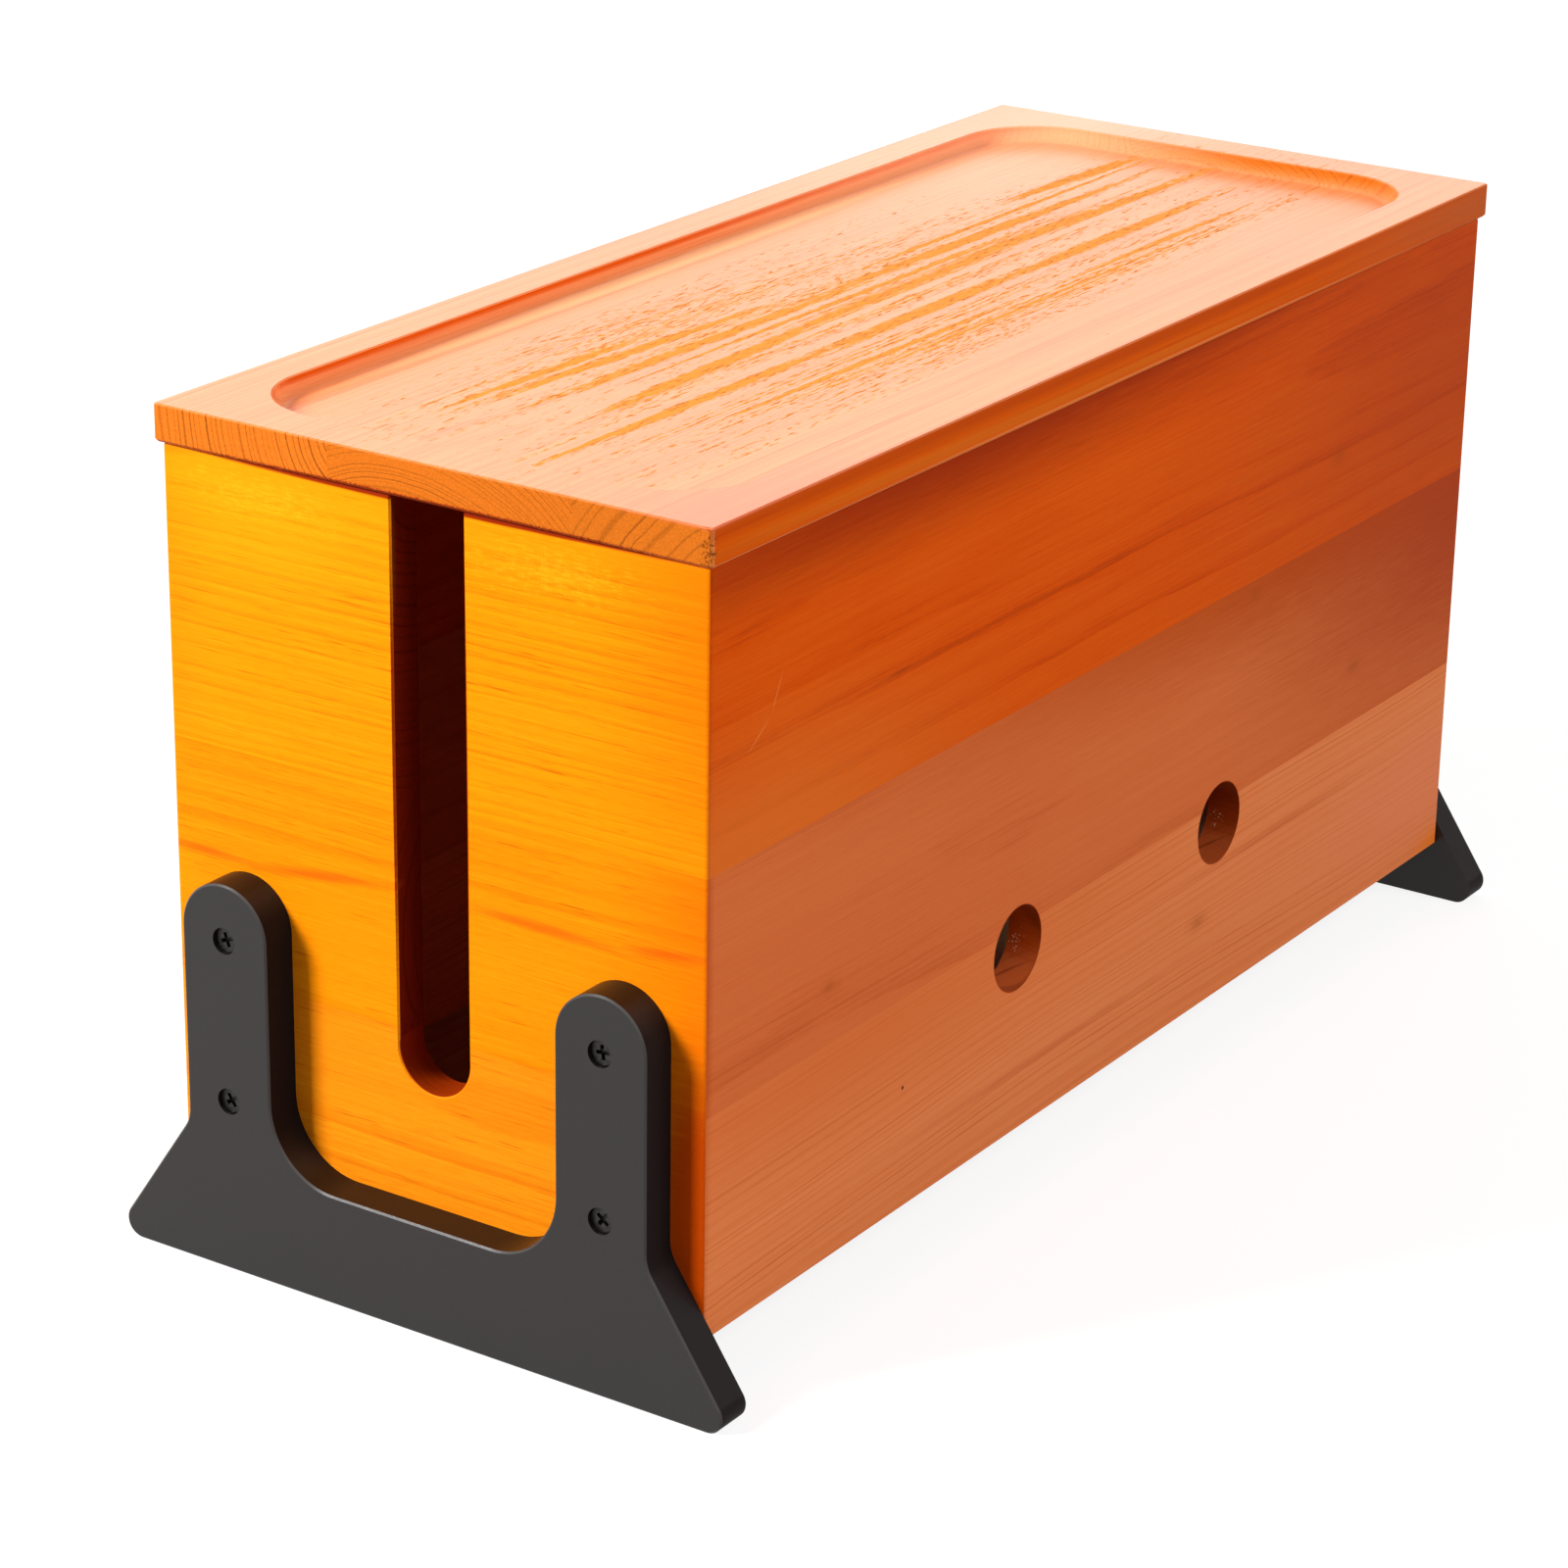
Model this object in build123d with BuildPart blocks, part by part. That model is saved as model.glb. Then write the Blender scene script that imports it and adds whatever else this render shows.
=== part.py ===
from build123d import *
import os

# A cable management box: a mitred pine carcass on two black end plates, with a lift-off tray lid.
# Millimetres. +X runs along the box, the wall with the two cable holes faces -Y, +Z is up.
# The origin is on the table, under the middle of the box.

# Carcass
BOX_LENGTH = 400.0          # outside, along X
BOX_WIDTH = 165.0           # outside, along Y
BOX_HEIGHT = 200.0          # height of the walls
WALL_THICKNESS = 10.0
FLOOR_GAP = 18.0            # the table to the underside of the walls
LOWER_STAVE_HEIGHT = 60.0   # the walls are glued up from three staves each
MIDDLE_STAVE_HEIGHT = 62.5  # the upper stave has what is left
CORNER_ROUND = 1.2          # upright corners
WALL_TOP_ROUND = 1.2        # outer edge along the top
WALL_UNDER_BEVEL = 0.5      # outer edge along the bottom

# Cable slot in each end wall, open at the top
SLOT_WIDTH = 22.0
SLOT_FLOOR = 44.0           # lowest point of the slot above the underside of the walls
SLOT_EDGE_BEVEL = 0.5

# Cable holes in the front wall
HOLE_DIAMETER = 24.0
HOLE_SPACING = 110.0
HOLE_HEIGHT = 54.0          # centre above the underside of the walls

# Bottom panel, held in a groove that runs round the carcass
PANEL_THICKNESS = 5.0
PANEL_RAISE = 6.0           # underside of the walls to the underside of the panel
GROOVE_DEPTH = 4.0
GROOVE_CLEARANCE = 0.3      # from the edge of the panel to the end of the groove

# Lid with a routed tray
LID_THICKNESS = 10.0
LID_OVERHANG = 1.5
LID_CORNER_ROUND = 1.2
LID_TOP_BEVEL = 0.4
LID_UNDER_BEVEL = 0.8
REAR_LID_STAVE_WIDTH = 55.0
FRONT_LID_STAVE_WIDTH = 40.0
TRAY_END_RIM = 14.5
TRAY_SIDE_RIM = 13.0
TRAY_DEPTH = 4.5
TRAY_CORNER_RADIUS = 25.0
TRAY_COVE_RADIUS = 4.0

# Cleats under the lid, which keep it in place between the walls
CLEAT_WIDTH = 12.0
CLEAT_HEIGHT = 8.0
CLEAT_EDGE_BEVEL = 1.5
LID_CLEARANCE = 0.5         # cleat to wall

# End plates that are the feet
FOOT_THICKNESS = 10.5
FOOT_ARM_INSET = 10.3       # side of the box to the outer edge of an arm
FOOT_ARM_WIDTH = 27.2
FOOT_ARM_TOP = 90.3         # above the underside of the walls
FOOT_WEB_TOP = 12.8         # above the underside of the walls
FOOT_WEB_RADIUS = 20.0
FOOT_SPLAY_TOP = 21.8       # where the splay starts, above the underside of the walls
FOOT_SPLAY = 27.1           # how far each side spreads past its arm, at the table
FOOT_SPLAY_RADIUS = 10.0
FOOT_TIP_RADIUS = 4.8
FOOT_EDGE_BEVEL = 0.5       # round the face that looks outwards

# Flat-topped screws, four to a foot, sunk in counterbores
SCREW_HEAD_DIAMETER = 6.8
SCREW_HEAD_HEIGHT = 2.0
SCREW_SHANK_DIAMETER = 3.5
SCREW_END_COVER = 1.2       # wood left between the end of the screw and the inside of the box
SCREW_RECESS_SPAN = 4.0
SCREW_RECESS_WIDTH = 1.1
SCREW_RECESS_DEPTH = 1.4
SCREW_SINK = 1.3            # head below the face of the foot
COUNTERBORE_CLEARANCE = 0.2
SHANK_CLEARANCE = 0.35
PILOT_CLEARANCE = 0.1
PILOT_END_CLEARANCE = 0.6
UPPER_SCREW_HEIGHT = 75.0   # above the underside of the walls
LOWER_SCREW_HEIGHT = 30.3
SCREW_TURNS = (8.0, 52.0, 20.0, 35.0)   # degrees, in the order that the screws are made in

CUT = 1.0                   # how far a cutting tool starts outside what it cuts

# Places that follow from the sizes
half_length = BOX_LENGTH / 2
half_width = BOX_WIDTH / 2
inner_length = BOX_LENGTH - 2 * WALL_THICKNESS
inner_width = BOX_WIDTH - 2 * WALL_THICKNESS
wall_bottom = FLOOR_GAP
lower_joint = wall_bottom + LOWER_STAVE_HEIGHT
upper_joint = lower_joint + MIDDLE_STAVE_HEIGHT
wall_top = wall_bottom + BOX_HEIGHT
lid_length = BOX_LENGTH + 2 * LID_OVERHANG
lid_width = BOX_WIDTH + 2 * LID_OVERHANG
lid_top = wall_top + LID_THICKNESS
panel_bottom = wall_bottom + PANEL_RAISE
arm_outer = half_width - FOOT_ARM_INSET
arm_middle = arm_outer - FOOT_ARM_WIDTH / 2
arm_inner = arm_outer - FOOT_ARM_WIDTH
arm_centre = wall_bottom + FOOT_ARM_TOP - FOOT_ARM_WIDTH / 2
foot_web_top = wall_bottom + FOOT_WEB_TOP
foot_splay_top = wall_bottom + FOOT_SPLAY_TOP
foot_tip = arm_outer + FOOT_SPLAY
counterbore_depth = SCREW_HEAD_HEIGHT + SCREW_SINK
seat_to_wall = FOOT_THICKNESS - counterbore_depth
screw_length = seat_to_wall + WALL_THICKNESS - SCREW_END_COVER
pilot_depth = screw_length - seat_to_wall + PILOT_END_CLEARANCE
screw_heights = (wall_bottom + UPPER_SCREW_HEIGHT, wall_bottom + LOWER_SCREW_HEIGHT)
screw_places = [(y, z) for y in (-arm_middle, arm_middle) for z in screw_heights]

os.makedirs("parts", exist_ok=True)


def finish(piece, name):
    """Label a finished piece and write it as its own STEP file."""
    piece.part.label = name
    export_step(piece.part, f"parts/{name}.step")


def end_plane(side, distance):
    """A plane across the box that looks outwards at one end; side is -1 (left) or 1 (right)."""
    return Plane(origin=(side * distance, 0, 0), x_dir=(0, side, 0), z_dir=(side, 0, 0))


# ---------------------------------------------------------------- carcass, before it is split
with BuildPart() as carcass:
    with BuildSketch(Plane.XY.offset(wall_bottom)):
        RectangleRounded(BOX_LENGTH, BOX_WIDTH, CORNER_ROUND)
    extrude(amount=BOX_HEIGHT)
    fillet(carcass.faces().sort_by(Axis.Z)[-1].edges(), radius=WALL_TOP_ROUND)
    chamfer(carcass.faces().sort_by(Axis.Z)[0].edges(), length=WALL_UNDER_BEVEL)
    with BuildSketch(Plane.XY.offset(wall_bottom - CUT)):
        Rectangle(inner_length, inner_width)
    extrude(amount=BOX_HEIGHT + 2 * CUT, mode=Mode.SUBTRACT)
    # the groove for the bottom panel
    with BuildSketch(Plane.XY.offset(panel_bottom)):
        Rectangle(inner_length + 2 * GROOVE_DEPTH, inner_width + 2 * GROOVE_DEPTH)
    extrude(amount=PANEL_THICKNESS, mode=Mode.SUBTRACT)
    # a cable slot through each end wall
    slot_floor = wall_bottom + SLOT_FLOOR
    slot_centre = slot_floor + SLOT_WIDTH / 2
    slot_rise = wall_top + CUT - slot_centre
    with BuildSketch(Plane.YZ):
        with Locations((0, slot_centre)):
            Circle(SLOT_WIDTH / 2)
            Rectangle(SLOT_WIDTH, slot_rise, align=(Align.CENTER, Align.MIN))
    extrude(amount=half_length + CUT, both=True, mode=Mode.SUBTRACT)
    for end_face in (carcass.faces().sort_by(Axis.X)[0], carcass.faces().sort_by(Axis.X)[-1]):
        slot_edges = end_face.edges().filter_by(lambda edge: abs(edge.center().Y) < SLOT_WIDTH / 2 + CUT)
        chamfer(slot_edges.filter_by(lambda edge: edge.center().Z > slot_floor), length=SLOT_EDGE_BEVEL)
    # two cable holes through the front wall
    with BuildSketch(Plane.XZ.offset(half_width + CUT)):
        with Locations((0, wall_bottom + HOLE_HEIGHT)):
            with GridLocations(HOLE_SPACING, 0, 2, 1):
                Circle(HOLE_DIAMETER / 2)
    extrude(amount=-(WALL_THICKNESS + 2 * CUT), mode=Mode.SUBTRACT)
    # pilot holes for the screws of the feet
    for side in (-1, 1):
        with BuildSketch(end_plane(side, half_length)):
            with Locations(*[(side * y, z) for y, z in screw_places]):
                Circle((SCREW_SHANK_DIAMETER + PILOT_CLEARANCE) / 2)
        extrude(amount=-pilot_depth, mode=Mode.SUBTRACT)

# ---------------------------------------------------------------- the staves of the walls
inner_x = half_length - WALL_THICKNESS
inner_y = half_width - WALL_THICKNESS
front_board = [(-half_length, -half_width), (half_length, -half_width), (inner_x, -inner_y), (-inner_x, -inner_y)]
rear_board = [(x, -y) for x, y in front_board]
left_end_board = [(-half_length, -half_width), (-inner_x, -inner_y), (-inner_x, inner_y), (-half_length, half_width)]
right_end_board = [(-x, y) for x, y in left_end_board]
left_end_front = [(-half_length, -half_width), (-inner_x, -inner_y), (-inner_x, 0), (-half_length, 0)]
left_end_rear = [(x, -y) for x, y in left_end_front]
right_end_front = [(-x, y) for x, y in left_end_front]
right_end_rear = [(-x, y) for x, y in left_end_rear]

lower = (wall_bottom, lower_joint)
middle = (lower_joint, upper_joint)
upper = (upper_joint, wall_top)

wall_staves = {
    "front_lower_stave": (front_board, lower),
    "front_middle_stave": (front_board, middle),
    "front_upper_stave": (front_board, upper),
    "rear_lower_stave": (rear_board, lower),
    "rear_middle_stave": (rear_board, middle),
    "rear_upper_stave": (rear_board, upper),
    "left_end_lower_stave": (left_end_board, lower),
    "left_end_middle_front_stave": (left_end_front, middle),
    "left_end_middle_rear_stave": (left_end_rear, middle),
    "left_end_upper_front_stave": (left_end_front, upper),
    "left_end_upper_rear_stave": (left_end_rear, upper),
    "right_end_lower_stave": (right_end_board, lower),
    "right_end_middle_front_stave": (right_end_front, middle),
    "right_end_middle_rear_stave": (right_end_rear, middle),
    "right_end_upper_front_stave": (right_end_front, upper),
    "right_end_upper_rear_stave": (right_end_rear, upper),
}

for stave_name, (mitred_plan, (bottom, top)) in wall_staves.items():
    with BuildPart() as stave:
        add(carcass.part)
        with BuildSketch(Plane.XY.offset(bottom)):
            Polygon(*mitred_plan, align=None)
        extrude(amount=top - bottom, mode=Mode.INTERSECT)
    finish(stave, stave_name)

# ---------------------------------------------------------------- bottom panel
with BuildPart() as bottom_panel:
    panel_edge = 2 * (GROOVE_DEPTH - GROOVE_CLEARANCE)
    with BuildSketch(Plane.XY.offset(panel_bottom)):
        Rectangle(inner_length + panel_edge, inner_width + panel_edge)
    extrude(amount=PANEL_THICKNESS)
finish(bottom_panel, "bottom_panel")

# ---------------------------------------------------------------- lid, before it is split
with BuildPart() as lid:
    with BuildSketch(Plane.XY.offset(wall_top)):
        RectangleRounded(lid_length, lid_width, LID_CORNER_ROUND)
    extrude(amount=LID_THICKNESS)
    chamfer(lid.faces().sort_by(Axis.Z)[0].edges(), length=LID_UNDER_BEVEL)
    with BuildSketch(Plane.XY.offset(lid_top)):
        RectangleRounded(lid_length - 2 * TRAY_END_RIM, lid_width - 2 * TRAY_SIDE_RIM, TRAY_CORNER_RADIUS)
    extrude(amount=-TRAY_DEPTH, mode=Mode.SUBTRACT)
    tray_floor = lid.faces().filter_by(Plane.XY).group_by(Axis.Z)[1].sort_by(SortBy.AREA)[-1]
    fillet(tray_floor.edges(), radius=TRAY_COVE_RADIUS)
    chamfer(lid.faces().sort_by(Axis.Z)[-1].edges(), length=LID_TOP_BEVEL)

rear_lid_joint = lid_width / 2 - REAR_LID_STAVE_WIDTH
front_lid_joint = FRONT_LID_STAVE_WIDTH - lid_width / 2
lid_staves = {
    "lid_front_stave": (-lid_width / 2, front_lid_joint),
    "lid_middle_stave": (front_lid_joint, rear_lid_joint),
    "lid_rear_stave": (rear_lid_joint, lid_width / 2),
}

for stave_name, (near, far) in lid_staves.items():
    with BuildPart() as stave:
        add(lid.part)
        with BuildSketch(Plane.XY.offset(wall_top)):
            with Locations((0, near)):
                Rectangle(lid_length, far - near, align=(Align.CENTER, Align.MIN))
        extrude(amount=LID_THICKNESS, mode=Mode.INTERSECT)
    finish(stave, stave_name)

# ---------------------------------------------------------------- cleats under the lid
cleat_length = inner_length - 2 * LID_CLEARANCE
cleat_middle = inner_y - LID_CLEARANCE - CLEAT_WIDTH / 2

for cleat_name, cleat_y in (("lid_front_cleat", -cleat_middle), ("lid_rear_cleat", cleat_middle)):
    with BuildPart() as cleat:
        with BuildSketch(Plane.XY.offset(wall_top)):
            with Locations((0, cleat_y)):
                Rectangle(cleat_length, CLEAT_WIDTH)
        extrude(amount=-CLEAT_HEIGHT)
        chamfer(cleat.faces().sort_by(Axis.Z)[0].edges(), length=CLEAT_EDGE_BEVEL)
    finish(cleat, cleat_name)

# ---------------------------------------------------------------- feet
for foot_name, side in (("left_foot", -1), ("right_foot", 1)):
    with BuildPart() as foot:
        with BuildSketch(end_plane(side, half_length)) as foot_outline:
            with BuildLine():
                flank = Polyline((0, 0), (foot_tip, 0), (arm_outer, foot_splay_top), (arm_outer, arm_centre))
                crown = CenterArc((arm_middle, arm_centre), FOOT_ARM_WIDTH / 2, 0, 180)
                inside = Line((arm_inner, arm_centre), (arm_inner, foot_web_top + FOOT_WEB_RADIUS))
                web_bend = CenterArc(
                    (arm_inner - FOOT_WEB_RADIUS, foot_web_top + FOOT_WEB_RADIUS), FOOT_WEB_RADIUS, 0, -90
                )
                web = Polyline((arm_inner - FOOT_WEB_RADIUS, foot_web_top), (0, foot_web_top), (0, 0))
            make_face()
            tip = foot_outline.vertices().group_by(Axis.X)[-1]
            fillet(tip, radius=FOOT_TIP_RADIUS)
            knee = foot_outline.vertices().sort_by_distance((arm_outer, foot_splay_top))[0]
            fillet(knee, radius=FOOT_SPLAY_RADIUS)
            mirror(about=Plane.YZ)
        extrude(amount=FOOT_THICKNESS)
        outer_face = foot.faces().sort_by(Axis((0, 0, 0), (side, 0, 0)))[-1]
        chamfer(outer_face.edges(), length=FOOT_EDGE_BEVEL)
        with Locations(end_plane(side, half_length + FOOT_THICKNESS)):
            with Locations(*[(side * y, z) for y, z in screw_places]):
                CounterBoreHole(
                    radius=(SCREW_SHANK_DIAMETER + SHANK_CLEARANCE) / 2,
                    counter_bore_radius=SCREW_HEAD_DIAMETER / 2 + COUNTERBORE_CLEARANCE,
                    counter_bore_depth=counterbore_depth,
                    depth=FOOT_THICKNESS,
                )
    finish(foot, foot_name)

# ---------------------------------------------------------------- screws
head_radius = SCREW_HEAD_DIAMETER / 2
shank_radius = SCREW_SHANK_DIAMETER / 2
head_seat = half_length + seat_to_wall

for side_name, side in (("left", -1), ("right", 1)):
    for number, ((y, z), turn) in enumerate(zip(screw_places, SCREW_TURNS), start=1):
        seat = (side * head_seat, y, z)
        half_section = Plane(origin=seat, x_dir=(0, 1, 0), z_dir=(0, 0, -side))
        head_face = Plane(
            origin=(side * (head_seat + SCREW_HEAD_HEIGHT), y, z), x_dir=(0, side, 0), z_dir=(side, 0, 0)
        )
        with BuildPart() as screw:
            with BuildSketch(half_section):
                Polygon(
                    (0, -screw_length),
                    (shank_radius, -screw_length),
                    (shank_radius, 0),
                    (head_radius, 0),
                    (head_radius, SCREW_HEAD_HEIGHT),
                    (0, SCREW_HEAD_HEIGHT),
                    align=None,
                )
            revolve(axis=Axis(seat, (side, 0, 0)))
            with BuildSketch(head_face):
                with Locations(Rotation(0, 0, turn)):
                    Rectangle(SCREW_RECESS_SPAN, SCREW_RECESS_WIDTH)
                    Rectangle(SCREW_RECESS_WIDTH, SCREW_RECESS_SPAN)
            extrude(amount=-SCREW_RECESS_DEPTH, mode=Mode.SUBTRACT)
        finish(screw, f"{side_name}_foot_screw_{number}")
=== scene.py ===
import logging
import math
from dataclasses import dataclass, replace
from enum import Enum

import bpy
from mathutils import Euler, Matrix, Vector


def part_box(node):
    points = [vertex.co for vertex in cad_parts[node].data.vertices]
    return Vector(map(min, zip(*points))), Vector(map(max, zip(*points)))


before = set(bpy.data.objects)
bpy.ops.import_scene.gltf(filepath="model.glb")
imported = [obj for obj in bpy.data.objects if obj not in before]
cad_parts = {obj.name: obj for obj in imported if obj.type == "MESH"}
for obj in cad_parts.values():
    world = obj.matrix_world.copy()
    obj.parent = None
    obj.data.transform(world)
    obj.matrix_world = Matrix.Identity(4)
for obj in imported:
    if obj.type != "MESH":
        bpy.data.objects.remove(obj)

MM_PER_METRE = 1000.0
IN_MM = (MM_PER_METRE,) * 3
WHITE = "#FFFFFF"

log = logging.getLogger("cable_box")


def linear(hex_colour: str) -> tuple[float, float, float, float]:
    """Turn an sRGB hex colour into the linear colour that the shaders take.

    Args:
        hex_colour: A colour such as "#D3540A".

    Returns:
        Red, green, blue and an alpha of 1.
    """
    channels = [int(hex_colour[i:i + 2], 16) / 255 for i in (1, 3, 5)]
    bright = [c / 12.92 if c <= 0.04045 else ((c + 0.055) / 1.055) ** 2.4 for c in channels]
    return (*bright, 1.0)


def add_node(
    tree: bpy.types.NodeTree, kind: str, sockets: dict | None = None, **settings: object
) -> bpy.types.Node:
    """Add a node with its settings and its links.

    Args:
        tree: The node tree that gets the node.
        kind: The node's type, such as "ShaderNodeMath".
        sockets: What goes into each input, by its name or number: a value, an output, or a node
            whose first output is meant.
        settings: The node's own properties, such as operation="ADD".

    Returns:
        The new node.
    """
    node = tree.nodes.new(kind)
    for name, value in settings.items():
        setattr(node, name, value)
    for name, source in (sockets or {}).items():
        if isinstance(source, bpy.types.Node):
            source = source.outputs[0]
        if isinstance(source, bpy.types.NodeSocket):
            tree.links.new(source, node.inputs[name])
        else:
            node.inputs[name].default_value = source
    return node


def new_material(name: str) -> tuple[bpy.types.Material, bpy.types.NodeTree]:
    """Make an empty node material.

    Args:
        name: The material's name.

    Returns:
        The material and its node tree.
    """
    material = bpy.data.materials.new(name)
    material.use_nodes = True
    material.node_tree.nodes.clear()
    return material, material.node_tree


def facing(
    tree: bpy.types.NodeTree, here: bpy.types.Node, letter: str, least: float, full: float = 0.92
) -> bpy.types.Node:
    """Tell the faces that look along one axis.

    Args:
        tree: The material's node tree.
        here: The Texture Coordinate node.
        letter: The axis, X, Y or Z.
        least: The cosine from which a face starts to count.
        full: The cosine from which it counts fully.

    Returns:
        A node that gives 1 on such faces and 0 on the rest.
    """
    apart = add_node(tree, "ShaderNodeSeparateXYZ", {0: here.outputs["Normal"]})
    along = add_node(tree, "ShaderNodeMath", {0: apart.outputs[letter]}, operation="ABSOLUTE")
    return add_node(tree, "ShaderNodeMapRange", {"Value": along, 1: least, 2: full})


def dress(node: str, material: bpy.types.Material) -> None:
    """Give a CAD node its finish, in the material slots that it came with.

    Args:
        node: The node's name.
        material: Its finish.
    """
    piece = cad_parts[node]
    if not piece.material_slots:
        piece.data.materials.append(material)
    for slot in piece.material_slots:
        slot.material = material
    log.info("%s: %s", node, material.name)


def box_in_mm(node: str) -> list[list[float]]:
    """Read a CAD node's box at rest from the frame.

    Args:
        node: The node's name.

    Returns:
        The lowest and the highest corner, in millimetres, to a hundredth of one.
    """
    return [[round(side * MM_PER_METRE, 2) for side in corner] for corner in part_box(node)]


# ---------------------------------------------------------------- pine


class Grain(Enum):
    """Which way a board's fibres run: the turn about Z that brings them onto X, and their axis."""

    ALONG_X = (0.0, "X")
    ALONG_Y = (-90.0, "Y")


class RingLine(Enum):
    """The share of a year at which a ring's dark line starts, is full, and starts to end."""

    PLANED = (0.35, 0.9, 0.93)
    SAWN = (0.68, 0.84, 0.88)


class MarkKind(Enum):
    """What a mark changes: the colour of the wood, with stains and with painted light and shade, or the
    shine of the lacquer on it.
    """

    STAIN = "stain"
    DRY = "dry"


class Weave(Enum):
    """The noises in the wood: their size along and across the grain in millimetres, and their detail."""

    WANDER = (260.0, 75.0, 1.0)
    RIPPLE = (60.0, 11.0, 2.0)
    THREAD = (280.0, 0.9, 2.0)
    FIBRE = (30.0, 0.5, 4.0)
    DASH = (14.0, 0.6, 2.0)
    HAIR = (16.0, 0.4, 1.0)
    FLECK = (3.4, 0.6, 1.0)
    GLINT = (0.5, 3.0, 2.0)
    CLOUD = (95.0, 38.0, 3.0)
    BAND = (420.0, 13.0, 2.0)


@dataclass(frozen=True)
class Mark:
    """A knot, streak, bare patch, painted shade or painted highlight: a stretched ball in the wood, broken
    up by one of the noises.

    Millimetres and degrees. Ragged is how far its noise pushes the edge about and grit how far the
    flecks do, cover is how high in those noises the mark still shows, and soft is how much of its
    reach the edge takes.
    """

    at: tuple[float, float, float]
    half: tuple[float, float, float]
    colour: str = "#6A2406"
    kind: MarkKind = MarkKind.STAIN
    turn: tuple[float, float, float] = (0.0, 0.0, 0.0)
    weave: Weave = Weave.DASH
    ragged: float = 0.2
    grit: float = 0.0
    cover: float = 0.5
    soft: float = 0.6
    strength: float = 0.8

    def mask(
        self, tree: bpy.types.NodeTree, place: bpy.types.Node, noise: dict[Weave, bpy.types.Node]
    ) -> bpy.types.Node:
        """Add the mark's shape.

        Args:
            tree: The material's node tree.
            place: The place on the box, in millimetres.
            noise: The noises that break up the mark's edge.

        Returns:
            A node that gives the mark's strength inside it and 0 outside.
        """
        inside = add_node(
            tree,
            "ShaderNodeMapping",
            {
                0: place,
                "Location": self.at,
                "Rotation": tuple(math.radians(angle) for angle in self.turn),
                "Scale": self.half,
            },
            vector_type="TEXTURE",
        )
        reach = add_node(tree, "ShaderNodeVectorMath", {0: inside}, operation="LENGTH").outputs["Value"]
        for source, push in ((noise[self.weave], self.ragged), (noise[Weave.FLECK], self.grit)):
            if push:
                reach = add_node(
                    tree, "ShaderNodeMath", {0: source, 1: push, 2: reach}, operation="MULTIPLY_ADD"
                )
        edge = 1 + (self.ragged + self.grit) * self.cover
        return add_node(
            tree,
            "ShaderNodeMapRange",
            {"Value": reach, 1: edge, 2: edge - self.soft, 4: self.strength},
            interpolation_type="SMOOTHSTEP",
        )


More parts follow.
